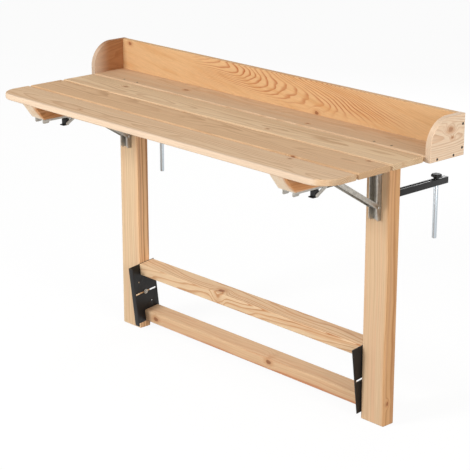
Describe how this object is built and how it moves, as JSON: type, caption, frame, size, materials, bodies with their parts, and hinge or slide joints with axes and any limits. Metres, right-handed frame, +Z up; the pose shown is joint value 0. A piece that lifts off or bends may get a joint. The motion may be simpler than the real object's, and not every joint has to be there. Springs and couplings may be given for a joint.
{
  "type": "folding balcony table",
  "caption": "Wooden railing-hung balcony table with a drop leaf on folding brackets, a rear shelf with back board and cheeks, railing clamps and a tilting brace between its legs.",
  "frame": {"origin": "where the table hangs on a railing: middle of its width, at the rear face of the legs, on the underside of the clamp tubes", "axes": "+X along the table to the right as seen from its front, +Y from the user towards the railing, +Z up"},
  "size_m": [1.493, 0.694, 0.952],
  "materials": {
    "larch": "planed and oiled softwood, satin",
    "galvanised_steel": "galvanised sheet, matt",
    "black_steel": "black powder coat, fine texture",
    "black_plastic": "moulded, satin",
    "catch_plastic": "moulded, matt",
    "zinc_steel": "bright zinc plate",
    "black_screw": "black oxide, satin"
  },
  "bodies": {
    "frame": {"leg_left": "larch", "leg_right": "larch", "rear_board": "larch", "back_board": "larch", "cheek_left": "larch", "cheek_right": "larch", "upright_left": "galvanised_steel", "upright_right": "galvanised_steel", "fold_pin_left": "galvanised_steel", "fold_pin_right": "galvanised_steel", "strut_pivot_left": "galvanised_steel", "strut_pivot_right": "galvanised_steel", "clamp_tube_left": "black_steel", "clamp_tube_right": "black_steel", "tube_plug_left": "black_plastic", "tube_plug_right": "black_plastic", "upright_screws": "zinc_steel", "rear_board_screws": "black_screw", "cheek_screws": "black_screw", "back_board_screws": "zinc_steel", "tube_screws": "zinc_steel"},
    "leaf": {"inner_board": "larch", "middle_board": "larch", "front_board": "larch", "cleat_left": "larch", "cleat_right": "larch", "arm_left": "galvanised_steel", "arm_right": "galvanised_steel", "cleat_screws": "zinc_steel", "arm_screws": "zinc_steel"},
    "left_strut": {"strut_left": "galvanised_steel", "catch_pin_left": "galvanised_steel"},
    "left_catch": {"catch_left": "catch_plastic", "lever_pin_left": "zinc_steel", "lever_spring_left": "zinc_steel"},
    "left_lever": {"release_lever_left": "galvanised_steel", "lever_grip_left": "black_plastic"},
    "left_clamp": {"clamp_rod_left": "zinc_steel"},
    "left_knob": {"clamp_knob_left": "black_plastic"},
    "right_strut": {"strut_right": "galvanised_steel", "catch_pin_right": "galvanised_steel"},
    "right_catch": {"catch_right": "catch_plastic", "lever_pin_right": "zinc_steel", "lever_spring_right": "zinc_steel"},
    "right_lever": {"release_lever_right": "galvanised_steel", "lever_grip_right": "black_plastic"},
    "right_clamp": {"clamp_rod_right": "zinc_steel"},
    "right_knob": {"clamp_knob_right": "black_plastic"},
    "brace_bolts": {"brace_bolt_left": "zinc_steel", "brace_bolt_right": "zinc_steel", "brace_washer_left": "zinc_steel", "brace_washer_right": "zinc_steel"},
    "brace": {"brace_plate_left": "black_steel", "brace_plate_right": "black_steel", "upper_rail": "larch", "lower_rail": "larch", "rail_screws": "zinc_steel"}
  },
  "joints": [
    {"name": "leaf_fold", "type": "hinge", "parent": "frame", "child": "leaf", "pos_m": [0, -0.056, 0.0914], "axis": [1, 0, 0], "range_deg": [0, 86]},
    {"name": "left_strut_swing", "type": "hinge", "parent": "frame", "child": "left_strut", "pos_m": [-0.557, -0.056, -0.0126], "axis": [1, 0, 0], "range_deg": [0, 116.06]},
    {"name": "left_catch_pivot", "type": "hinge", "parent": "left_strut", "child": "left_catch", "pos_m": [-0.557, -0.22331, 0.0914], "axis": [1, 0, 0], "range_deg": [-30.06, 0]},
    {"name": "left_lever_press", "type": "hinge", "parent": "left_catch", "child": "left_lever", "pos_m": [-0.557, -0.26731, 0.0914], "axis": [1, 0, 0], "range_deg": [-20, 0], "stiffness_Nm_per_rad": 0.4, "springref_deg": 2.86},
    {"name": "left_clamp_slide", "type": "slide", "parent": "frame", "child": "left_clamp", "axis": [0, 1, 0], "range_m": [-0.064, 0.129]},
    {"name": "left_knob_turn", "type": "hinge", "parent": "left_clamp", "child": "left_knob", "pos_m": [-0.557, 0.099, 0.0202], "axis": [0, 0, 1], "continuous": true},
    {"name": "right_strut_swing", "type": "hinge", "parent": "frame", "child": "right_strut", "pos_m": [0.557, -0.056, -0.0126], "axis": [1, 0, 0], "range_deg": [0, 116.06]},
    {"name": "right_catch_pivot", "type": "hinge", "parent": "right_strut", "child": "right_catch", "pos_m": [0.557, -0.22331, 0.0914], "axis": [1, 0, 0], "range_deg": [-30.06, 0]},
    {"name": "right_lever_press", "type": "hinge", "parent": "right_catch", "child": "right_lever", "pos_m": [0.557, -0.26731, 0.0914], "axis": [1, 0, 0], "range_deg": [-20, 0], "stiffness_Nm_per_rad": 0.4, "springref_deg": 2.86},
    {"name": "right_clamp_slide", "type": "slide", "parent": "frame", "child": "right_clamp", "axis": [0, 1, 0], "range_m": [-0.173, 0.02]},
    {"name": "right_knob_turn", "type": "hinge", "parent": "right_clamp", "child": "right_knob", "pos_m": [0.557, 0.208, 0.0202], "axis": [0, 0, 1], "continuous": true},
    {"name": "brace_tilt", "type": "hinge", "parent": "frame", "child": "brace_bolts", "pos_m": [0, -0.0225, -0.554], "axis": [1, 0, 0], "range_deg": [-20, 9]},
    {"name": "brace_slide", "type": "slide", "parent": "brace_bolts", "child": "brace", "axis": [0, 0.9925, 0.1219], "range_m": [-0.035, 0.04]}
  ],
  "couplings": [
    {"joint": "left_strut_swing", "follows": "leaf_fold", "ratio": 1.346},
    {"joint": "left_catch_pivot", "follows": "leaf_fold", "ratio": -0.346},
    {"joint": "right_strut_swing", "follows": "leaf_fold", "ratio": 1.346},
    {"joint": "right_catch_pivot", "follows": "leaf_fold", "ratio": -0.346}
  ]
}
